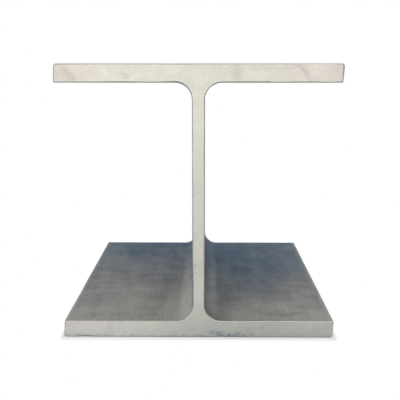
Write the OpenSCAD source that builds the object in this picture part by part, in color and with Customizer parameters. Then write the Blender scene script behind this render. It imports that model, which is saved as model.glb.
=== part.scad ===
// Titanium H-beam: a short cut of wide-flange section, one solid from tip to tip.
// Millimetres. The beam stands on its lower flange: X runs across the flanges, Y along the beam, Z up.
// The origin lies at the middle of the underside.

/* [Section] */
// Height over both flanges
section_height = 200; // [120:1:400]
// Width of each flange from tip to tip
flange_width = 200; // [120:1:400]
// Thickness of each flange
flange_thickness = 13; // [8:0.5:24]
// Thickness of the web
web_thickness = 9; // [5:0.5:16]
// Radius of the fillet where the web runs into a flange
root_radius = 12; // [6:0.5:20]

/* [Flange tips] */
// Radius along the outer corner of each tip
outer_tip_radius = 2; // [1:0.1:3]
// Radius along the inner corner of each tip
inner_tip_radius = 1; // [0.8:0.1:2]
// How far a tip leans sideways over the flange thickness
tip_lean = 0.8; // [0:0.1:2]

/* [Cut] */
// Length of the cut piece
beam_length = 210; // [60:5:6000]
// Bevel filed around both sawn ends
end_bevel = 0.6; // [0.2:0.1:0.7]

/* [Hidden] */
$fn = 96;

titanium_grey = [0.62, 0.62, 0.60];
half_width = flange_width / 2;
half_height = section_height / 2;
// Half the sideways lean of a tip, and the acute and obtuse corners that it makes
half_lean = tip_lean / 2;
acute_angle = 90 - atan(tip_lean / flange_thickness);
obtuse_angle = 180 - acute_angle;
// Centre of a root fillet, measured from the middle of the web and from the underside
root_out = web_thickness / 2 + root_radius;
root_up = flange_thickness + root_radius;
// How far shapes that are joined or cut reach into each other
overlap = 1;
// How much larger a corner's arc is than the one that would only touch the two sides
arc_bite = 0.005;
// How far a bevel's cut reaches out of the metal
bevel_reach = 0.05;

// The four corners of the lower flange: place, mirrors, radius and angle.
// A corner's own X runs along the flat side of the flange, and the tip leaves it at the angle.
tip_corners = [
    [[-half_width - half_lean, 0], [0, 0], outer_tip_radius, acute_angle],
    [[half_width - half_lean, 0], [1, 0], outer_tip_radius, obtuse_angle],
    [[half_width + half_lean, flange_thickness], [1, 1], inner_tip_radius, acute_angle],
    [[-half_width + half_lean, flange_thickness], [0, 1], inner_tip_radius, obtuse_angle]
];

// Puts its children at one corner of the lower flange.
module at_corner(corner) {
    translate(corner[0])
        mirror([corner[1][0], 0, 0]) mirror([0, corner[1][1], 0])
            children();
}

// Draws its children for the lower half of the section, and turned end for end for the upper half.
module both_halves() {
    for (turn = [0, 180])
        translate([0, half_height]) rotate(turn) translate([0, -half_height])
            children();
}

// Waste between a sharp corner at the origin and the arc that rounds it, reaching past the corner.
module corner_waste(radius, angle) {
    reach = radius / tan(angle / 2);
    past_corner = overlap / sin(angle / 2);
    difference() {
        polygon([
            [reach, radius],
            [reach, -overlap],
            [-past_corner * cos(angle / 2), -overlap],
            [reach * cos(angle) - overlap * sin(angle), reach * sin(angle) + overlap * cos(angle)]
        ]);
        translate([reach, radius]) circle(radius + arc_bite);
    }
}

// Section of the lower flange, standing on Z = 0: a racked plate with four rounded corners.
module flange_section() {
    difference() {
        polygon([for (corner = tip_corners) corner[0]]);
        for (corner = tip_corners)
            at_corner(corner) corner_waste(corner[2], corner[3]);
    }
}

// Section of the web with its four root fillets: a block cut back on both sides to the web by a
// slot whose corners are the fillets. It reaches a little into both flanges.
module web_section() {
    block_height = section_height - 2 * (flange_thickness - overlap);
    straight_height = section_height - 2 * root_up;
    translate([0, half_height])
        difference() {
            square([2 * root_out, block_height], center = true);
            for (side = [-1, 1])
                translate([side * root_out, 0]) {
                    square([2 * root_radius, straight_height], center = true);
                    for (end = [-1, 1])
                        translate([0, end * straight_height / 2])
                            circle(root_radius + arc_bite);
                }
        }
}

// The whole H: two like flanges and the web between them.
module h_section() {
    both_halves() flange_section();
    web_section();
}

// Sliver that the bevel takes off an edge: X points out of the metal from the edge at the given
// place, and Y runs from the end face into the beam.
module bevel_sliver(edge) {
    polygon([
        [edge - end_bevel - bevel_reach, -bevel_reach],
        [edge + bevel_reach, -bevel_reach],
        [edge + bevel_reach, end_bevel + bevel_reach]
    ]);
}

// Bevel along a straight side that runs from the origin along +X, with the metal on its +Y side.
module side_bevel(length) {
    rotate([90, 0, 90])
        linear_extrude(length)
            mirror([1, 0]) bevel_sliver(0);
}

// Bevel around a rounded corner that lies as in corner_waste.
module corner_bevel(radius, angle) {
    translate([radius / tan(angle / 2), radius, 0])
        rotate(angle + 90)
            rotate_extrude(angle = 180 - angle)
                bevel_sliver(radius + arc_bite);
}

// Bevel around a root fillet: a cone that flares out towards the end face.
module root_bevel() {
    flare = root_radius + arc_bite;
    translate([0, 0, -bevel_reach])
        cylinder(
            h = end_bevel + 2 * bevel_reach,
            r1 = flare + end_bevel + bevel_reach,
            r2 = flare - bevel_reach
        );
}

// Bevels along the straight sides of the lower half of the outline: flange, tips and web.
module straight_bevels() {
    for (corner = tip_corners)
        at_corner(corner) {
            outer = corner[1][1] == 0;
            side_bevel(outer ? half_width + overlap : abs(corner[0][0]) - root_out);
            if (outer)
                rotate(corner[3]) mirror([0, 1, 0])
                    side_bevel(flange_thickness / sin(corner[3]));
        }
    for (side = [0, 1])
        mirror([side, 0, 0])
            translate([web_thickness / 2, half_height + overlap, 0])
                rotate(-90) mirror([0, 1, 0])
                    side_bevel(half_height + overlap - root_up);
}

// Bevels around the rounded corners and roots of the lower half of the outline.
module round_bevels() {
    for (corner = tip_corners)
        at_corner(corner) corner_bevel(corner[2], corner[3]);
    for (side = [0, 1])
        mirror([side, 0, 0])
            translate([root_out, root_up, 0]) root_bevel();
}

// Draws its children on both halves of the outline, at the near end and mirrored at the far end.
module both_ends() {
    both_halves() children();
    translate([0, 0, beam_length])
        mirror([0, 0, 1]) both_halves() children();
}

// The beam: the section raised along its length, with both ends bevelled all round.
// The round bevels are cut after the straight ones, so that no two cuts lie side by side.
module h_beam() {
    color(titanium_grey)
        translate([0, beam_length / 2, 0])
            rotate([90, 0, 0])
                difference() {
                    difference() {
                        linear_extrude(beam_length) h_section();
                        both_ends() straight_bevels();
                    }
                    both_ends() round_bevels();
                }
}

h_beam();
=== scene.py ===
"""Dresses a short length of titanium H-beam: its rolled skin, milled ends and filed edges."""
import math

import bpy
import numpy as np
from mathutils import Euler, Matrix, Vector


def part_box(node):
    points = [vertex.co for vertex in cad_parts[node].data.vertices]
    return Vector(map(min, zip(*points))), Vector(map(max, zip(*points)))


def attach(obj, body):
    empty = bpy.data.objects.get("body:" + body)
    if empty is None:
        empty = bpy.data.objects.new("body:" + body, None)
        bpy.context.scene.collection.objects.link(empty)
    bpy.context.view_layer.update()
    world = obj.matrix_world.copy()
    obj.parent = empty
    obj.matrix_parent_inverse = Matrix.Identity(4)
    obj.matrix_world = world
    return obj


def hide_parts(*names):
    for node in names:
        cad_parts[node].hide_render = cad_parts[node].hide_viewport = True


bl_info = {
    "name": "Titanium H-beam",
    "version": (1, 0, 0),
    "blender": (4, 5, 0),
    "location": "3D View > Sidebar > H-beam",
    "description": "Builds a short length of titanium H-beam and a white studio around it",
    "category": "Object",
}

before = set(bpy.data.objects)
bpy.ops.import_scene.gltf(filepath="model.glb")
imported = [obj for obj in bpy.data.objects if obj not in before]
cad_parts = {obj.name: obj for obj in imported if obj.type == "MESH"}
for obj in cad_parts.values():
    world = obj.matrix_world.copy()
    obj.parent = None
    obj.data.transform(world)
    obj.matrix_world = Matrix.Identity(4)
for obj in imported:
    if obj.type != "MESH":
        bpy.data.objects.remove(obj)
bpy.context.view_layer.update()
BEAM_LOW, BEAM_HIGH = (np.array(corner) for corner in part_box("h_beam"))
BEAM_HEIGHT = float(BEAM_HIGH[2] - BEAM_LOW[2])
BEAM_LENGTH = float(BEAM_HIGH[1] - BEAM_LOW[1])
FRONT_END = float(BEAM_LOW[1])
MM = 0.001


def linear(hex_colour):
    """Linear red, green and blue of an sRGB hex colour: ((c + 0.055) / 1.055) ** 2.4 above the toe."""
    values = [int(hex_colour[place:place + 2], 16) / 255 for place in (1, 3, 5)]
    return tuple(c / 12.92 if c <= 0.04045 else ((c + 0.055) / 1.055) ** 2.4 for c in values)


def opaque(colour):
    """The colour with full alpha, as a colour socket takes it."""
    return (*colour, 1.0)


# Properties that a user would change


def length_property(name, description, default):
    """A length in metres with a name and a description."""
    return bpy.props.FloatProperty(
        name=name, description=description, default=default, min=0, precision=5, unit="LENGTH"
    )


def angle_property(name, description, degrees):
    """An angle whose default is given in degrees."""
    return bpy.props.FloatProperty(
        name=name, description=description, default=math.radians(degrees), subtype="ANGLE"
    )


def colour_property(name, description, default):
    """A linear colour whose default is an sRGB hex value."""
    return bpy.props.FloatVectorProperty(
        name=name, description=description, default=linear(default), size=3, min=0, max=1, subtype="COLOR"
    )


class BeamSizes(bpy.types.PropertyGroup):
    """Sizes of the section and of the wear on it; the height and length come from the frame."""

    flange_width: length_property("Flange width", "From tip to tip", 200 * MM)
    flange_thickness: length_property("Flange thickness", "Thickness of each flange", 13 * MM)
    web_thickness: length_property("Web thickness", "Thickness of the web", 9 * MM)
    root_radius: length_property("Root radius", "Fillet between web and flange", 12 * MM)
    outer_tip_radius: length_property("Outer tip radius", "Outer corner of a flange tip", 2 * MM)
    inner_tip_radius: length_property("Inner tip radius", "Inner corner of a flange tip", 1 * MM)
    tip_lean: length_property("Tip lean", "Sideways lean of a tip over the flange", 0.8 * MM)
    edge_bevel: length_property("Edge bevel", "Filed edge around both ends", 0.6 * MM)
    mill_wave: length_property("Mill wave", "Depth of the rolled surface's waviness", 0.06 * MM)


class BeamFinish(bpy.types.PropertyGroup):
    """Colours of the three finishes."""

    # The ramp from skin grey to skin blue also carries painted shade and painted highlights on the lower
    # flange
    skin_grey: colour_property("Skin grey", "Rolled surface with the thinnest oxide", "#9A9B98")
    skin_violet: colour_property("Skin violet", "Rolled surface with some oxide", "#7B7E82")
    skin_blue: colour_property("Skin blue", "Rolled surface with the thickest oxide", "#516375")
    end_beige: colour_property("End beige", "Milled end, pinkish patches", "#AFACAB")
    end_olive: colour_property("End olive", "Milled end, greenish patches", "#B0B4AF")
    edge_grey: colour_property("Edge grey", "Filed edge", "#8D8F90")
    scale: colour_property("Scale", "Blue-grey scale along the front end's lowest edge", "#65747F")


class StudioSettings(bpy.types.PropertyGroup):
    """Camera, lamps and floor around the beam."""

    camera_distance: length_property("Camera distance", "From the lens to the front end", 427.5 * MM)
    camera_height: length_property("Camera height", "Lens above the floor", 196.4 * MM)
    camera_side: length_property("Camera side step", "Lens to the right of the web", 5 * MM)
    camera_pitch: angle_property("Camera pitch", "Downward tilt", 11.18)
    camera_yaw: angle_property("Camera yaw", "Turn to the left", 0.52)
    lens: bpy.props.FloatProperty(
        name="Lens", description="Focal length on a 36 mm sensor", default=55.2, unit="CAMERA"
    )
    lens_shift: bpy.props.FloatProperty(
        name="Lens shift", description="Picture above the lens axis, in picture widths", default=-0.025
    )
    lamp_size: length_property("Lamp size", "Side of each square lamp", 350 * MM)
    lamp_cream: colour_property("Lamp cream", "Tint of the lamps", "#FFF6E4")
    sky_fill: bpy.props.FloatProperty(
        name="Sky fill", description="Light that the white room sends to matt surfaces", default=0.5
    )
    paper_white: colour_property("Paper white", "Floor in the beam's shadow", "#EEF2FA")
    shadow_reach: length_property("Shadow reach", "Floor around the beam that shows its shadow", 8 * MM)


# Shape of the beam


# Rings of the mesh across a filed bevel
BEVEL_STEPS = 6

# Places of the three finishes among the body's materials
SKIN, BEVEL, END = range(3)

# Name of the attribute that says how bare the long edges are rubbed
EDGE_WEAR = "edge_wear"

# Chips on the front and back ends: place across and up, reach and depth, in millimetres
END_CHIPS = (
    (
        (9, 0, 4, 0.5),
        (17, 0, 3, 0.8),
        (24, 0, 3, 0.6),
        (31, 0, 4, 0.5),
        (-84, 0, 4, 0.6),
        (-99, 1, 2, 0.4),
        (100, 199, 3, 0.5),
        (100, 193, 7, 0.6),
        (-100, 193, 7, 0.5),
        (-62, 12, 2, 0.3),
        (47, 188, 2, 0.3),
    ),
    (
        (-30, 0, 4, 0.5),
        (66, 0, 3, 0.5),
        (-100, 198, 2, 0.5),
        (20, 200, 3, 0.4),
        (88, 12, 2, 0.4),
    ),
)

# Knocks on the long edges of the flange tips: side, place up and along, reach and depth, in millimetres
EDGE_KNOCKS = (
    (1, 199, -60, 3.0, 0.35),
    (1, 12, 38, 2.5, 0.30),
    (1, 1, -22, 3.5, 0.40),
    (1, 188, 71, 2.5, 0.25),
    (-1, 199, 25, 3.5, 0.40),
    (-1, 12, -48, 2.5, 0.30),
    (-1, 1, 64, 3.0, 0.35),
    (-1, 188, -15, 2.5, 0.25),
)


def rounded_chain(corners, radii, run_steps, arc_steps):
    """Points and outward normals along straight runs whose inner corners are arcs.

    A run's points are start + (1 - cos(pi u)) / 2 (end - start), so they crowd towards its ends.
    An arc of radius r that turns by the angle a begins r tan(a / 2) before its corner, and its points
    are centre + r (cos, sin). The metal lies to the left of the chain.
    """
    corners = np.asarray(corners, float)
    steps = np.diff(corners, axis=0)
    along = steps / np.linalg.norm(steps, axis=1)[:, None]
    outward = np.stack([along[:, 1], -along[:, 0]], axis=1)
    turn = np.arctan2(
        along[:-1, 0] * along[1:, 1] - along[:-1, 1] * along[1:, 0],
        np.sum(along[:-1] * along[1:], axis=1),
    )
    setback = np.asarray(radii) * np.tan(np.abs(turn) / 2)
    starts = corners[:-1] + along * np.concatenate([[0], setback])[:, None]
    ends = corners[1:] - along * np.concatenate([setback, [0]])[:, None]
    points = []
    normals = []
    for run, count in enumerate(run_steps):
        share = (1 - np.cos(np.pi * np.arange(count) / count)) / 2
        points.append(starts[run] + share[:, None] * (ends[run] - starts[run]))
        normals.append(np.repeat(outward[run][None], count, axis=0))
        if run < len(turn):
            side = np.sign(turn[run])
            angle = np.arctan2(*outward[run][::-1]) + turn[run] * np.arange(arc_steps) / arc_steps
            radial = np.stack([np.cos(angle), np.sin(angle)], axis=1)
            centre = ends[run] - side * radii[run] * outward[run]
            points.append(centre + side * radii[run] * radial)
            normals.append(radial)
    return np.concatenate(points), np.concatenate(normals)


def section_outline(sizes):
    """Points and outward normals of the H, anticlockwise seen from the front end.

    The lower half runs from the middle of the web's left side round the flange to its right side, and
    the upper half is the lower one turned by half a turn about the middle of the web.
    """
    web = sizes.web_thickness / 2
    half = sizes.flange_width / 2
    lean = sizes.tip_lean / 2
    thick = sizes.flange_thickness
    middle = BEAM_HEIGHT / 2
    corners = [
        (-web, middle),
        (-web, thick),
        (-half + lean, thick),
        (-half - lean, 0),
        (half - lean, 0),
        (half + lean, thick),
        (web, thick),
        (web, middle),
    ]
    tip_radii = [sizes.inner_tip_radius, sizes.outer_tip_radius]
    radii = [sizes.root_radius, *tip_radii, *tip_radii[::-1], sizes.root_radius]
    points, normals = rounded_chain(corners, radii, run_steps=(18, 26, 10, 56, 10, 26, 18), arc_steps=10)
    turned = np.array([0, BEAM_HEIGHT]) - points
    return np.concatenate([points, turned]), np.concatenate([normals, -normals])


def waves(turns, lengthwise, phases, round_share, long_share):
    """Sum of sines sin(2 pi (turns u + lengthwise v) + phase), scaled to the range from 0 to 1."""
    total = sum(
        np.sin(2 * np.pi * (turn * round_share + run * long_share) + phase)
        for turn, run, phase in zip(turns, lengthwise, phases)
    )
    return 0.5 + 0.5 * total / len(turns)


def filed_width(outline, around, end, sizes):
    """Width of the filed bevel round one end: uneven filing, and a few chips that widen it.

    The web's share of the width follows exp(-((x - middle) / reach) ** 2), so that its left side is filed
    most. The upper flange's underside has a share of exp(-(height above it / reach) ** 2), which fades to
    the tips as 1 - (x / half the flange) ** 6. A chip adds its depth times exp(-(d / reach) ** 2), with d
    the distance from its middle.
    """
    unevenness = 0.6
    plain_share = 0.72
    web_share = 0.5
    web_middle = -10 * MM
    web_reach = 12 * MM
    underside_share = 0.3
    underside_reach = 3 * MM
    x, z = outline.T
    middle = BEAM_HEIGHT / 2
    between_flanges = np.abs(z - middle) < middle - sizes.flange_thickness / 2
    on_web = between_flanges * np.exp(-((x - web_middle) / web_reach) ** 2)
    underside = BEAM_HEIGHT - sizes.flange_thickness
    clear_of_tips = 1 - (2 * x / sizes.flange_width) ** 6
    on_underside = clear_of_tips * np.exp(-((z - underside) / underside_reach) ** 2)
    share = plain_share + web_share * on_web + underside_share * on_underside
    uneven = waves((7, 17, 31), (0, 0, 0), (0.3 + end, 1.9, 4.2 - end), around, 0)
    width = sizes.edge_bevel * (1 + unevenness * uneven) * share
    for across, up, reach, depth in END_CHIPS[end]:
        distance = np.hypot(x - across * MM, z - up * MM)
        width += depth * MM * np.exp(-(distance / (reach * MM)) ** 2)
    return width


def bevel_curve():
    """Inset and depth of the bevel's rings as shares of its width, from the long side to the end.

    They follow (1 - inset) ** n + (1 - depth) ** n = 1, with n, the roundness, a little over 1.
    """
    roundness = 1.35
    quarter = np.linspace(0, np.pi / 2, BEVEL_STEPS + 1)[:, None]
    return 1 - np.cos(quarter) ** (2 / roundness), 1 - np.sin(quarter) ** (2 / roundness)


def edge_wear(outline, sizes):
    """How bare each place round the section is: exp(-(d / reach) ** 2), d from the nearest tip corner."""
    reach = 2.2 * MM
    thick = sizes.flange_thickness
    corner_heights = np.array([0, thick, BEAM_HEIGHT - thick, BEAM_HEIGHT])
    across = np.abs(outline[:, :1]) - sizes.flange_width / 2
    distance = np.hypot(across, outline[:, 1:] - corner_heights).min(axis=1)
    return np.exp(-(distance / reach) ** 2)


def beam_surface(sizes):
    """Grid of points, rings along the beam by places round the section, and the wear at each point.

    The section is carried along Y, and drawn in along the bevel's curve towards each end. The rolled skin
    sinks by a slow wave, and each knock sinks it by depth exp(-(distance / reach) ** 2).
    """
    clear_of_bevel = 4 * MM
    ring_gap = 1.6 * MM
    outline, normals = section_outline(sizes)
    gaps = np.linalg.norm(np.roll(outline, -1, axis=0) - outline, axis=1)
    around = np.concatenate([[0], np.cumsum(gaps)[:-1]]) / gaps.sum()
    front_width = filed_width(outline, around, 0, sizes)
    back_width = filed_width(outline, around, 1, sizes)
    inset, depth = bevel_curve()
    half = BEAM_LENGTH / 2
    body_rings = int((BEAM_LENGTH - 2 * clear_of_bevel) / ring_gap)
    body = np.linspace(-half + clear_of_bevel, half - clear_of_bevel, body_rings)[:, None]
    along = np.concatenate([
        -half + depth[::-1] * front_width,
        body + 0 * around,
        half - depth * back_width,
    ])
    drawn_in = np.concatenate([
        inset[::-1] * front_width,
        0 * body + 0 * around,
        inset * back_width,
    ])

    sunk = sizes.mill_wave * waves(
        (5, 9, 14, 3), (1.3, -2.1, 0.7, 3.4), (0.4, 2.2, 5.1, 3.3), around, along / BEAM_LENGTH
    )
    for side, up, place, reach, deep in EDGE_KNOCKS:
        across = np.hypot(outline[:, 0] - side * sizes.flange_width / 2, outline[:, 1] - up * MM)
        distance = np.hypot(across, along - place * MM)
        sunk += deep * MM * np.exp(-(distance / (reach * MM)) ** 2)
    flat = outline - normals * (drawn_in + sunk)[..., None]
    points = np.stack([flat[..., 0], along, flat[..., 1]], axis=-1)
    return points, np.broadcast_to(edge_wear(outline, sizes), along.shape)


def grid_mesh(name, points, wear):
    """Closed mesh of a grid of rings: quads round it and one flat face on each end.

    The long sides, the bevels and the ends have a finish each, and the wear becomes an attribute.
    """
    rings, places = points.shape[:2]
    ring = np.arange(rings - 1)[:, None]
    place = np.arange(places)
    following = (place + 1) % places
    quads = np.stack(
        np.broadcast_arrays(
            ring * places + place,
            (ring + 1) * places + place,
            (ring + 1) * places + following,
            ring * places + following,
        ),
        axis=-1,
    )
    ends = [place.tolist(), ((rings - 1) * places + place[::-1]).tolist()]
    bands = np.full(rings - 1, SKIN)
    bands[:BEVEL_STEPS] = BEVEL
    bands[-BEVEL_STEPS:] = BEVEL
    finishes = np.concatenate([np.repeat(bands, places), [END, END]])
    mesh = bpy.data.meshes.new(name)
    mesh.from_pydata(points.reshape(-1, 3).tolist(), [], quads.reshape(-1, 4).tolist() + ends)
    mesh.polygons.foreach_set("material_index", finishes)
    mesh.polygons.foreach_set("use_smooth", finishes != END)
    mesh.attributes.new(EDGE_WEAR, "FLOAT", "POINT").data.foreach_set("value", wear.ravel())
    mesh.validate()
    mesh.update()
    return mesh


# Finishes


# Sockets of a Mix node that mixes colours: its inputs and its output
MIX_FACTOR, MIX_FROM, MIX_TO = 0, 6, 7
MIX_RESULT = 2

# Values between which a noise mostly stays
NOISE_RANGE = {"From Min": 0.3, "From Max": 0.7}

# How far stains, painted shade and scale on the front end reach along the beam, in millimetres
STAIN_DEPTH = 20
SCALE_DEPTH = 12

# Handling marks and painted shade on the front end: middle across and up, reach across and up in
# millimetres, turn in degrees and strength. A stain darkens the metal by its strength, and a negative one
# is a paler streak or patch. The three broad marks on the lower flange are painted shade: darker right of
# the web and paler to its left.
FRONT_STAINS_AND_SHADE = (
    (-88.7, 192.3, 9, 4.2, -50, 0.16),
    (74.0, 193.0, 9, 2.8, -60, 0.17),
    (69.5, 197.5, 5, 2.4, -40, 0.16),
    (26.8, 193.5, 10, 4.0, 90, 0.12),
    (49.0, 196.8, 19, 3.0, 0, 0.12),
    (-49.6, 191.2, 3.6, 2.8, 0, 0.15),
    (-52.0, 193.4, 2.4, 2.0, 0, 0.12),
    (-63.0, 193.5, 10, 2.2, -40, -0.08),
    (-41.0, 193.0, 9, 2.2, 35, -0.07),
    (-66.8, 8.0, 8, 3.5, 80, 0.12),
    (-2.2, 55.5, 2.0, 1.2, 60, 0.22),
    (-1.6, 50.0, 1.3, 1.0, 0, 0.20),
    (46.5, 7.7, 1.6, 1.5, 0, 0.22),
    # Painted shade: these two darken the lower flange from its middle to its right tip
    (60.0, 2.0, 120, 34, 0, 0.18),
    (10.0, 6.0, 50, 22, 0, 0.08),
    (18.0, 195.0, 65, 30, 0, 0.09),
    (-100.0, 193.0, 14, 20, 0, 0.12),
    (100.0, 193.0, 14, 20, 0, 0.08),
    # Painted shade: this one lightens the lower flange left of the web
    (-80.0, 6.0, 70, 30, 0, -0.08),
)
# Patches of the front end that are pinkish rather than greenish
FRONT_WARMTH = (
    (-88, 193, 62, 40, 0, 0.75),
    (88, 193, 62, 40, 0, 0.85),
    (-80, 6, 70, 30, 0, 0.60),
    (0, 196, 150, 24, 0, 0.25),
)
# Blue-grey scale along the lowest edge of the front end, and a faint haze of it over the whole edge
FRONT_SCALE = (
    (14.0, 3.0, 12, 2.6, -10, 0.75),
    (27.0, 1.8, 17, 3.0, 0, 0.68),
    (41.0, 2.6, 2.0, 3.4, 0, 0.60),
    (-82.0, 0.6, 28, 2.4, 0, 0.55),
    (-24.0, 0.2, 60, 2.2, 0, 0.45),
    (40.0, 0.0, 70, 1.8, 0, 0.40),
    (0.0, 0.0, 260, 9.0, 0, 0.16),
)
# Patches of thicker oxide on the upper side of the lower flange, and thinner ones with a negative
# strength, with painted light among them: middle and reach in millimetres, turn and strength. The first
# is painted shadow of the web on the flange's right half, and the narrow paler strips along the roots
# are painted highlights.
SKIN_OXIDE_AND_PAINTED_LIGHT = (
    # Painted shadow: the web's shadow on the lower flange right of it
    ((34, 20, 13), (62, 110, 40), 0, 0.50),
    ((-40, 85, 13), (50, 60, 30), 0, 0.15),
    # Painted highlights: paler strips along the left root
    ((-13, -20, 20), (11, 140, 18), 0, -0.50),
    ((-16, -70, 17), (16, 65, 16), 0, -0.45),
    # Painted highlight: a paler strip along the right root
    ((11, -25, 14), (5, 45, 6), 0, -0.20),
    ((-33, -17, 13), (24, 26, 14), 0, 0.28),
    ((-88, 35, 13), (42, 42, 20), 0, -0.22),
    ((-92, -65, 13), (26, 26, 14), 0, 0.12),
    ((21, -65, 13), (16, 24, 12), 0, 0.18),
    ((18, -17, 13), (12, 24, 10), 0, -0.14),
    ((49, -65, 13), (26, 26, 14), 0, -0.16),
    ((86, -22, 13), (17, 6, 10), 0, -0.22),
    ((84, 13, 13), (32, 10, 10), 0, 0.22),
    ((78, 40, 13), (36, 26, 12), 0, 0.18),
    ((70, -95, 13), (80, 42, 20), 0, -0.30),
    ((-70, -40, 13), (60, 90, 20), 0, -0.20),
)
# Marks that darken the skin: real smudges of dirt behind the front edge, and painted shade along the
# right root. The paler strip at the front of the left root, with a negative strength, is a painted
# highlight.
SKIN_DIRT_AND_PAINTED_LIGHT = (
    ((54, -92, 13), (9, 6, 20), 0, 0.25),
    ((66, -93, 13), (9, 5, 20), 0, 0.30),
    ((75, -90, 13), (6, 5, 20), 0, 0.25),
    ((60, -86, 13), (8, 4, 20), 0, 0.14),
    # Painted shade: a darker line along the right root
    ((5, -20, 20), (8, 280, 20), 0, 0.42),
    # Painted shade: the right root darker at its front end
    ((12, -104, 16), (17, 38, 16), 0, 0.42),
    # Painted highlight: a paler strip at the front of the left root
    ((-15, -80, 15), (14, 46, 14), 0, -0.28),
)


def add(tree, kind, inputs=None, **settings):
    """Adds a node with its settings; an input is a value or the socket that feeds it."""
    node = tree.nodes.new(kind)
    for name, value in settings.items():
        setattr(node, name, value)
    for key, value in (inputs or {}).items():
        if isinstance(value, bpy.types.NodeSocket):
            tree.links.new(value, node.inputs[key])
        else:
            node.inputs[key].default_value = value
    return node


def bare_material(name):
    """A node material whose tree is empty."""
    material = bpy.data.materials.new(name)
    material.use_nodes = True
    material.node_tree.nodes.clear()
    return material, material.node_tree


def metal(tree, colour, roughness, normal=None):
    """Metal shader fed by a colour, a roughness and a normal, joined to the material's output."""
    inputs = {"Metallic": 1.0, "Base Color": colour, "Roughness": roughness}
    if normal:
        inputs["Normal"] = normal
    shader = add(tree, "ShaderNodeBsdfPrincipled", inputs)
    add(tree, "ShaderNodeOutputMaterial", {"Surface": shader.outputs["BSDF"]})


def on_front(marks, depth):
    """Marks of the front end, which are given across and up, in the form that soft_marks takes."""
    along = FRONT_END / MM
    return [
        ((x, along, z), (wide, depth, high), turn, strength)
        for x, z, wide, high, turn, strength in marks
    ]


def soft_marks(tree, place, marks):
    """Sum of soft ellipses, each its strength times (1 - distance from its middle over its reach).

    A mark is its middle and its reach along X, Y and Z in millimetres, its turn about Y in degrees and
    its strength. The places are wobbled by a noise, so that no mark has a clean rim.
    """
    wobble_size = 4 * MM
    wobble_reach = 5 * MM
    wobble = add(
        tree, "ShaderNodeTexNoise", {"Vector": place, "Scale": 1 / wobble_size, "Detail": 2.0}
    ).outputs["Color"]
    centred = add(
        tree, "ShaderNodeVectorMath", {0: wobble, 1: (0.5, 0.5, 0.5)}, operation="SUBTRACT"
    ).outputs[0]
    moved = add(
        tree,
        "ShaderNodeVectorMath",
        {0: centred, 1: (wobble_reach, wobble_reach, wobble_reach), 2: place},
        operation="MULTIPLY_ADD",
    ).outputs[0]
    total = 0.0
    for middle, reach, turn, strength in marks:
        local = add(
            tree,
            "ShaderNodeMapping",
            {
                "Vector": moved,
                "Location": [value * MM for value in middle],
                "Rotation": (0, -math.radians(turn), 0),
                "Scale": [value * MM for value in reach],
            },
            vector_type="TEXTURE",
        ).outputs[0]
        soft = add(
            tree, "ShaderNodeTexGradient", {"Vector": local}, gradient_type="SPHERICAL"
        ).outputs["Fac"]
        total = add(
            tree, "ShaderNodeMath", {0: soft, 1: strength, 2: total}, operation="MULTIPLY_ADD"
        ).outputs[0]
    return total


def oxide_and_painted_light(tree, place, stretched, mottle):
    """How thick the oxide is, from 0 to 1, with painted shade and highlights mixed in: it thickens to the
    back, less so higher up, and is patchy. The way to the back is partly real oxide and partly painted
    shade on the lower flange under the upper one.

    It is the sum of the way to the back, blotches, mottling, bands across the beam and the known patches,
    each times its weight; the known patches hold painted shadow and painted highlights too.
    """
    thinnest = 0.62
    thickest = 1.72
    axes = add(tree, "ShaderNodeSeparateXYZ", {0: place}).outputs
    # Part oxide, part painted shade: the darkening to the back is strongest low down, on the lower flange
    # that the upper flange shades
    back_oxide_and_shade_gain = add(
        tree,
        "ShaderNodeMapRange",
        {"Value": axes["Z"], "From Min": 20 * MM, "From Max": 150 * MM, "To Min": 1.0, "To Max": 0.55},
    ).outputs[0]
    total = add(
        tree,
        "ShaderNodeMapRange",
        {"Value": axes["Y"], "From Min": FRONT_END, "From Max": -FRONT_END, "To Max": back_oxide_and_shade_gain},
    ).outputs[0]
    blotch = add(
        tree,
        "ShaderNodeTexNoise",
        {"Vector": stretched, "Scale": 1 / (38 * MM), "Detail": 3.0, "Roughness": 0.5},
    ).outputs[0]
    widened = add(tree, "ShaderNodeMapping", {"Vector": place, "Scale": (0.3, 1.0, 1.0)}).outputs[0]
    band = add(
        tree,
        "ShaderNodeTexNoise",
        {"Vector": widened, "Scale": 1 / (11 * MM), "Detail": 2.0, "Roughness": 0.5},
    ).outputs[0]
    patch = soft_marks(tree, place, SKIN_OXIDE_AND_PAINTED_LIGHT)
    for part, weight in ((blotch, 0.55), (mottle, 0.3), (band, 0.45), (patch, 0.9)):
        total = add(
            tree, "ShaderNodeMath", {0: part, 1: weight, 2: total}, operation="MULTIPLY_ADD"
        ).outputs[0]
    return add(
        tree, "ShaderNodeMapRange", {"Value": total, "From Min": thinnest, "From Max": thickest}
    ).outputs[0]


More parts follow.
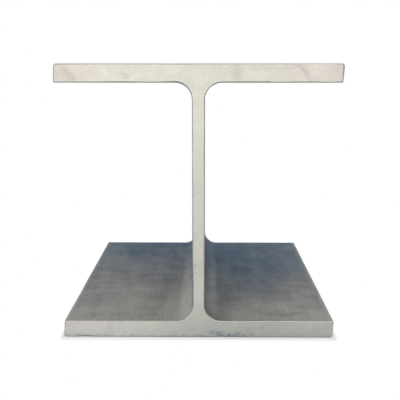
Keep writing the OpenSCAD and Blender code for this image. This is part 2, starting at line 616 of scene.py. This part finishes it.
def rolled_titanium(finish):
    """Hot-rolled and pickled titanium: matt grey, clouded by a bluish oxide that thickens to the back,
    with painted shade that darkens the lower flange's far half.

    The eye sees blotches drawn out along the beam, narrow bands across it, smaller mottling, a fine
    pickled grain that is drawn at 1.6 mm so that it shows, faint rolling lines, smudges of dirt, painted
    shadow of the web and painted shade along the right root, painted highlights along both roots, and
    long edges that are rubbed to bare metal here and there.
    """
    violet_place = 0.45
    grain_contrast = 0.12
    line_contrast = 0.045
    material, tree = bare_material("rolled_pickled_titanium")
    place = add(tree, "ShaderNodeTexCoord").outputs["Object"]
    stretched = add(tree, "ShaderNodeMapping", {"Vector": place, "Scale": (1.0, 0.5, 1.0)}).outputs[0]
    mottle = add(
        tree,
        "ShaderNodeTexNoise",
        {"Vector": stretched, "Scale": 1 / (9 * MM), "Detail": 3.0, "Roughness": 0.55},
    ).outputs[0]
    grain = add(
        tree, "ShaderNodeTexNoise", {"Vector": stretched, "Scale": 1 / (1.6 * MM), "Detail": 2.0}
    ).outputs[0]
    drawn_out = add(tree, "ShaderNodeMapping", {"Vector": place, "Scale": (1.0, 0.03, 1.0)}).outputs[0]
    lines = add(
        tree, "ShaderNodeTexNoise", {"Vector": drawn_out, "Scale": 1 / (3 * MM), "Detail": 2.0}
    ).outputs[0]

    ramp = add(tree, "ShaderNodeValToRGB", {"Fac": oxide_and_painted_light(tree, place, stretched, mottle)})
    ramp.color_ramp.elements[0].color = opaque(finish.skin_grey)
    ramp.color_ramp.elements[1].color = opaque(finish.skin_blue)
    ramp.color_ramp.elements.new(violet_place).color = opaque(finish.skin_violet)
    speck = add(
        tree,
        "ShaderNodeMapRange",
        {"Value": grain, **NOISE_RANGE, "To Min": 1 - grain_contrast, "To Max": 1 + grain_contrast},
    ).outputs[0]
    streak = add(
        tree,
        "ShaderNodeMapRange",
        {"Value": lines, **NOISE_RANGE, "To Min": 1 - line_contrast, "To Max": 1 + line_contrast},
    ).outputs[0]
    shade = add(tree, "ShaderNodeMath", {0: speck, 1: streak}, operation="MULTIPLY").outputs[0]
    # Dirt smudges, painted shade along the right root and a painted highlight on the left root
    dirt_and_painted_light = soft_marks(tree, place, SKIN_DIRT_AND_PAINTED_LIGHT)
    kept = add(tree, "ShaderNodeMath", {0: 1.0, 1: dirt_and_painted_light}, operation="SUBTRACT").outputs[0]
    shade = add(tree, "ShaderNodeMath", {0: shade, 1: kept}, operation="MULTIPLY").outputs[0]
    skin = add(
        tree, "ShaderNodeVectorMath", {0: ramp.outputs[0], 1: shade}, operation="MULTIPLY"
    ).outputs[0]

    edge = add(tree, "ShaderNodeAttribute", attribute_name=EDGE_WEAR).outputs["Fac"]
    rubbed = add(
        tree,
        "ShaderNodeMapRange",
        {"Value": mottle, "From Min": 0.38, "From Max": 0.62, "To Min": 0.15, "To Max": 0.75},
    ).outputs[0]
    wear = add(tree, "ShaderNodeMath", {0: edge, 1: rubbed}, operation="MULTIPLY").outputs[0]
    colour = add(
        tree,
        "ShaderNodeMix",
        {MIX_FACTOR: wear, MIX_FROM: skin, MIX_TO: opaque(finish.end_olive)},
        data_type="RGBA",
    ).outputs[MIX_RESULT]
    rough = add(
        tree, "ShaderNodeMapRange", {"Value": mottle, **NOISE_RANGE, "To Min": 0.62, "To Max": 0.74}
    ).outputs[0]
    relief = add(tree, "ShaderNodeMath", {0: grain, 1: lines}, operation="ADD").outputs[0]
    bump = add(
        tree, "ShaderNodeBump", {"Height": relief, "Strength": 0.4, "Distance": 0.08 * MM}
    ).outputs[0]
    metal(tree, colour, rough, bump)
    return material


def milled_titanium(finish):
    """Face-milled titanium: pale satin metal, clouded pinkish and greenish by handling.

    The eye sees soft patches a few centimetres wide, faint slanting cutter marks and a fine grain, which
    are drawn at 1.6 and 1.1 mm so that they show, and on the front end a few darker smears, painted shade
    that darkens the lower flange right of the web and lightens it to the left, and blue-grey scale along
    the lowest edge.
    """
    cutter_slant = math.radians(28)
    cutter_stretch = 14.0
    contrast = 0.065
    material, tree = bare_material("face_milled_titanium")
    place = add(tree, "ShaderNodeTexCoord").outputs["Object"]
    cloud = add(
        tree, "ShaderNodeTexNoise", {"Vector": place, "Scale": 1 / (40 * MM), "Detail": 2.0}
    ).outputs[0]
    mottle = add(
        tree, "ShaderNodeTexNoise", {"Vector": place, "Scale": 1 / (9 * MM), "Detail": 3.0}
    ).outputs[0]
    slanted = add(
        tree,
        "ShaderNodeMapping",
        {"Vector": place, "Rotation": (0, -cutter_slant, 0), "Scale": (cutter_stretch, 1.0, 1.0)},
        vector_type="TEXTURE",
    ).outputs[0]
    cutter = add(
        tree, "ShaderNodeTexNoise", {"Vector": slanted, "Scale": 1 / (1.6 * MM), "Detail": 2.0}
    ).outputs[0]
    grain = add(
        tree, "ShaderNodeTexNoise", {"Vector": place, "Scale": 1 / (1.1 * MM), "Detail": 1.0}
    ).outputs[0]

    clouds = add(
        tree, "ShaderNodeMapRange", {"Value": cloud, **NOISE_RANGE, "To Min": -0.1, "To Max": 0.5}
    ).outputs[0]
    warmth = soft_marks(tree, place, on_front(FRONT_WARMTH, STAIN_DEPTH))
    patches = add(
        tree, "ShaderNodeMath", {0: clouds, 1: warmth}, operation="ADD", use_clamp=True
    ).outputs[0]
    tone = add(
        tree,
        "ShaderNodeMix",
        {MIX_FACTOR: patches, MIX_FROM: opaque(finish.end_olive), MIX_TO: opaque(finish.end_beige)},
        data_type="RGBA",
    ).outputs[MIX_RESULT]
    uneven = add(tree, "ShaderNodeMath", {0: mottle, 1: cutter}, operation="ADD").outputs[0]
    uneven = add(tree, "ShaderNodeMath", {0: uneven, 1: grain}, operation="ADD").outputs[0]
    shade = add(
        tree,
        "ShaderNodeMapRange",
        {
            "Value": uneven,
            "From Min": 1.1,
            "From Max": 1.9,
            "To Min": 1 - contrast,
            "To Max": 1 + contrast,
        },
    ).outputs[0]
    # Stains on the front end, with painted shade on the lower flange among them
    stain_and_shade = soft_marks(tree, place, on_front(FRONT_STAINS_AND_SHADE, STAIN_DEPTH))
    kept = add(tree, "ShaderNodeMath", {0: 1.0, 1: stain_and_shade}, operation="SUBTRACT").outputs[0]
    shade = add(tree, "ShaderNodeMath", {0: shade, 1: kept}, operation="MULTIPLY").outputs[0]
    clean = add(tree, "ShaderNodeVectorMath", {0: tone, 1: shade}, operation="MULTIPLY").outputs[0]

    flecks = add(
        tree, "ShaderNodeTexNoise", {"Vector": place, "Scale": 1 / (2.2 * MM), "Detail": 2.0}
    ).outputs[0]
    broken = add(
        tree,
        "ShaderNodeMapRange",
        {"Value": flecks, "From Min": 0.4, "From Max": 0.62, "To Min": 0.25, "To Max": 1.0},
    ).outputs[0]
    scale = soft_marks(tree, place, on_front(FRONT_SCALE, SCALE_DEPTH))
    scale = add(
        tree, "ShaderNodeMath", {0: scale, 1: broken}, operation="MULTIPLY", use_clamp=True
    ).outputs[0]
    colour = add(
        tree,
        "ShaderNodeMix",
        {MIX_FACTOR: scale, MIX_FROM: clean, MIX_TO: opaque(finish.scale)},
        data_type="RGBA",
    ).outputs[MIX_RESULT]
    rough = add(
        tree, "ShaderNodeMapRange", {"Value": mottle, **NOISE_RANGE, "To Min": 0.52, "To Max": 0.62}
    ).outputs[0]
    relief = add(tree, "ShaderNodeMath", {0: grain, 1: cutter}, operation="ADD").outputs[0]
    bump = add(
        tree, "ShaderNodeBump", {"Height": relief, "Strength": 0.2, "Distance": 0.03 * MM}
    ).outputs[0]
    metal(tree, colour, rough, bump)
    return material


def filed_titanium(finish):
    """Filed titanium edge: darker and glossier than the milled face.

    The eye sees a brightness that changes every few millimetres, as the file bit more or less, and on the
    front end blue-grey scale along the lowest edge.
    """
    contrast = 0.12
    roughness = 0.42
    material, tree = bare_material("filed_titanium_edge")
    place = add(tree, "ShaderNodeTexCoord").outputs["Object"]
    strokes = add(
        tree, "ShaderNodeTexNoise", {"Vector": place, "Scale": 1 / (7 * MM), "Detail": 3.0}
    ).outputs[0]
    shade = add(
        tree,
        "ShaderNodeMapRange",
        {"Value": strokes, **NOISE_RANGE, "To Min": 1 - contrast, "To Max": 1 + contrast},
    ).outputs[0]
    filed = add(
        tree, "ShaderNodeVectorMath", {0: finish.edge_grey, 1: shade}, operation="MULTIPLY"
    ).outputs[0]
    scale = soft_marks(tree, place, on_front(FRONT_SCALE, SCALE_DEPTH))
    colour = add(
        tree,
        "ShaderNodeMix",
        {MIX_FACTOR: scale, MIX_FROM: filed, MIX_TO: opaque(finish.scale)},
        data_type="RGBA",
    ).outputs[MIX_RESULT]
    metal(tree, colour, roughness)
    return material


# Stage


# Lamps: name, place in metres and power in watts
LAMPS = (
    ("key_above_camera", (0.0, -0.75, 0.32), 1.5),
    ("left_fill", (-0.45, -0.5, 0.15), 1.4),
    ("right_fill", (0.35, -0.65, 0.55), 2.2),
)


def placed(name, data):
    """New object that shows the data, linked to the scene."""
    thing = bpy.data.objects.new(name, data)
    bpy.context.collection.objects.link(thing)
    return thing


def seen_directly(tree):
    """1 for camera, glossy and transmission rays and 0 for the rest, so that metal shows white too."""
    path = add(tree, "ShaderNodeLightPath").outputs
    seen = path["Is Camera Ray"]
    for kind in ("Is Glossy Ray", "Is Transmission Ray"):
        seen = add(tree, "ShaderNodeMath", {0: seen, 1: path[kind]}, operation="MAXIMUM").outputs[0]
    return seen


def white_floor_material(settings):
    """White paper that takes the contact shadow near the beam and is plain white beyond it.

    The way from paper to white follows the distance outside the beam's own footprint, which counts
    double to the sides.
    """
    material, tree = bare_material("white_studio_floor")
    footprint = (float(BEAM_HIGH[0]), float(BEAM_HIGH[1]), 1.0)
    nothing = (0, 0, 0)
    side_weight = (2, 1, 1)
    outside = add(tree, "ShaderNodeTexCoord").outputs["Object"]
    for operation, value in (
        ("ABSOLUTE", nothing),
        ("SUBTRACT", footprint),
        ("MAXIMUM", nothing),
        ("MULTIPLY", side_weight),
    ):
        outside = add(
            tree, "ShaderNodeVectorMath", {0: outside, 1: value}, operation=operation
        ).outputs[0]
    distance = add(tree, "ShaderNodeVectorMath", {0: outside}, operation="LENGTH").outputs["Value"]
    open_floor = add(
        tree,
        "ShaderNodeMapRange",
        {"Value": distance, "From Max": settings.shadow_reach},
        interpolation_type="SMOOTHSTEP",
    ).outputs[0]
    paper = add(tree, "ShaderNodeBsdfDiffuse", {"Color": opaque(settings.paper_white)})
    white = add(tree, "ShaderNodeEmission", {"Strength": seen_directly(tree)})
    both = add(tree, "ShaderNodeMixShader", {0: open_floor, 1: paper.outputs[0], 2: white.outputs[0]})
    add(tree, "ShaderNodeOutputMaterial", {"Surface": both.outputs[0]})
    return material


def white_floor(settings):
    """Wide square sheet of paper, just clear of the beam's underside."""
    reach = 4.0
    below = -0.1 * MM
    corners = [(x * reach, y * reach, below) for x, y in ((-1, -1), (1, -1), (1, 1), (-1, 1))]
    mesh = bpy.data.meshes.new("floor")
    mesh.from_pydata(corners, [], [(0, 1, 2, 3)])
    mesh.materials.append(white_floor_material(settings))
    placed("floor", mesh)


def white_world(settings):
    """World that is white where it is seen directly and a softer fill for matt surfaces."""
    world = bpy.data.worlds.new("white_room")
    world.use_nodes = True
    tree = world.node_tree
    tree.nodes.clear()
    level = add(
        tree,
        "ShaderNodeMapRange",
        {"Value": seen_directly(tree), "To Min": settings.sky_fill, "To Max": 1.0},
    ).outputs[0]
    sky = add(tree, "ShaderNodeBackground", {"Color": (1, 1, 1, 1), "Strength": level})
    add(tree, "ShaderNodeOutputWorld", {"Surface": sky.outputs[0]})
    bpy.context.scene.world = world


def soft_lamp(settings, name, place, power):
    """Square area lamp at a place, facing the middle of the beam."""
    data = bpy.data.lights.new(name, "AREA")
    data.shape = "SQUARE"
    data.size = settings.lamp_size
    data.energy = power
    data.color = settings.lamp_cream
    lamp = placed(name, data)
    lamp.location = place
    beam_middle = Vector((0, 0, BEAM_HEIGHT / 2))
    lamp.rotation_euler = (beam_middle - Vector(place)).to_track_quat("-Z", "Y").to_euler()


def front_camera(settings):
    """Camera before the front end, a little to the right of the web and tilted down."""
    sensor_width = 36
    nearest_seen = 10 * MM
    lens = bpy.data.cameras.new("camera")
    lens.lens = settings.lens
    lens.sensor_width = sensor_width
    lens.shift_y = settings.lens_shift
    lens.clip_start = nearest_seen
    camera = placed("camera", lens)
    camera.location = (
        settings.camera_side,
        FRONT_END - settings.camera_distance,
        settings.camera_height,
    )
    camera.rotation_euler = Euler((math.pi / 2 - settings.camera_pitch, 0, settings.camera_yaw))
    bpy.context.scene.camera = camera


# Operators


class HBEAM_OT_build_beam(bpy.types.Operator):
    """Build the beam's visible body and its finishes"""

    bl_idname = "hbeam.build_beam"
    bl_label = "Build beam"

    def execute(self, context):
        body = placed("beam_body", grid_mesh("beam_body", *beam_surface(context.scene.beam_sizes)))
        for make in (rolled_titanium, filed_titanium, milled_titanium):
            body.data.materials.append(make(context.scene.beam_finish))
        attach(body, "root")
        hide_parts("h_beam")
        return {"FINISHED"}


class HBEAM_OT_build_stage(bpy.types.Operator):
    """Build the floor, the white room, the lamps and the camera"""

    bl_idname = "hbeam.build_stage"
    bl_label = "Build stage"

    def execute(self, context):
        settings = context.scene.studio_settings
        white_floor(settings)
        white_world(settings)
        for name, place, power in LAMPS:
            soft_lamp(settings, name, place, power)
        front_camera(settings)
        context.scene.view_settings.view_transform = "Standard"
        return {"FINISHED"}


class HBEAM_PT_sidebar(bpy.types.Panel):
    """Lists the beam's operators and properties"""

    bl_label = "H-beam"
    bl_idname = "HBEAM_PT_sidebar"
    bl_space_type = "VIEW_3D"
    bl_region_type = "UI"
    bl_category = "H-beam"

    def draw(self, context):
        for operator in OPERATORS:
            self.layout.operator(operator.bl_idname)
        for group in PROPERTY_GROUPS:
            values = getattr(context.scene, group)
            for name in values.bl_rna.properties.keys():
                if name not in ("rna_type", "name"):
                    self.layout.prop(values, name)


OPERATORS = (HBEAM_OT_build_beam, HBEAM_OT_build_stage)
PROPERTY_GROUPS = {
    "beam_sizes": BeamSizes,
    "beam_finish": BeamFinish,
    "studio_settings": StudioSettings,
}
CLASSES = (*PROPERTY_GROUPS.values(), *OPERATORS, HBEAM_PT_sidebar)


def register():
    """Registers the classes and hangs the properties on the scene."""
    for kind in CLASSES:
        bpy.utils.register_class(kind)
    for name, group in PROPERTY_GROUPS.items():
        setattr(bpy.types.Scene, name, bpy.props.PointerProperty(type=group))


def unregister():
    """Undoes register in the reverse order."""
    for name in PROPERTY_GROUPS:
        delattr(bpy.types.Scene, name)
    for kind in reversed(CLASSES):
        bpy.utils.unregister_class(kind)


def main():
    """Builds the beam and the stage."""
    register()
    bpy.ops.hbeam.build_beam()
    bpy.ops.hbeam.build_stage()


if __name__ == "__main__":
    main()
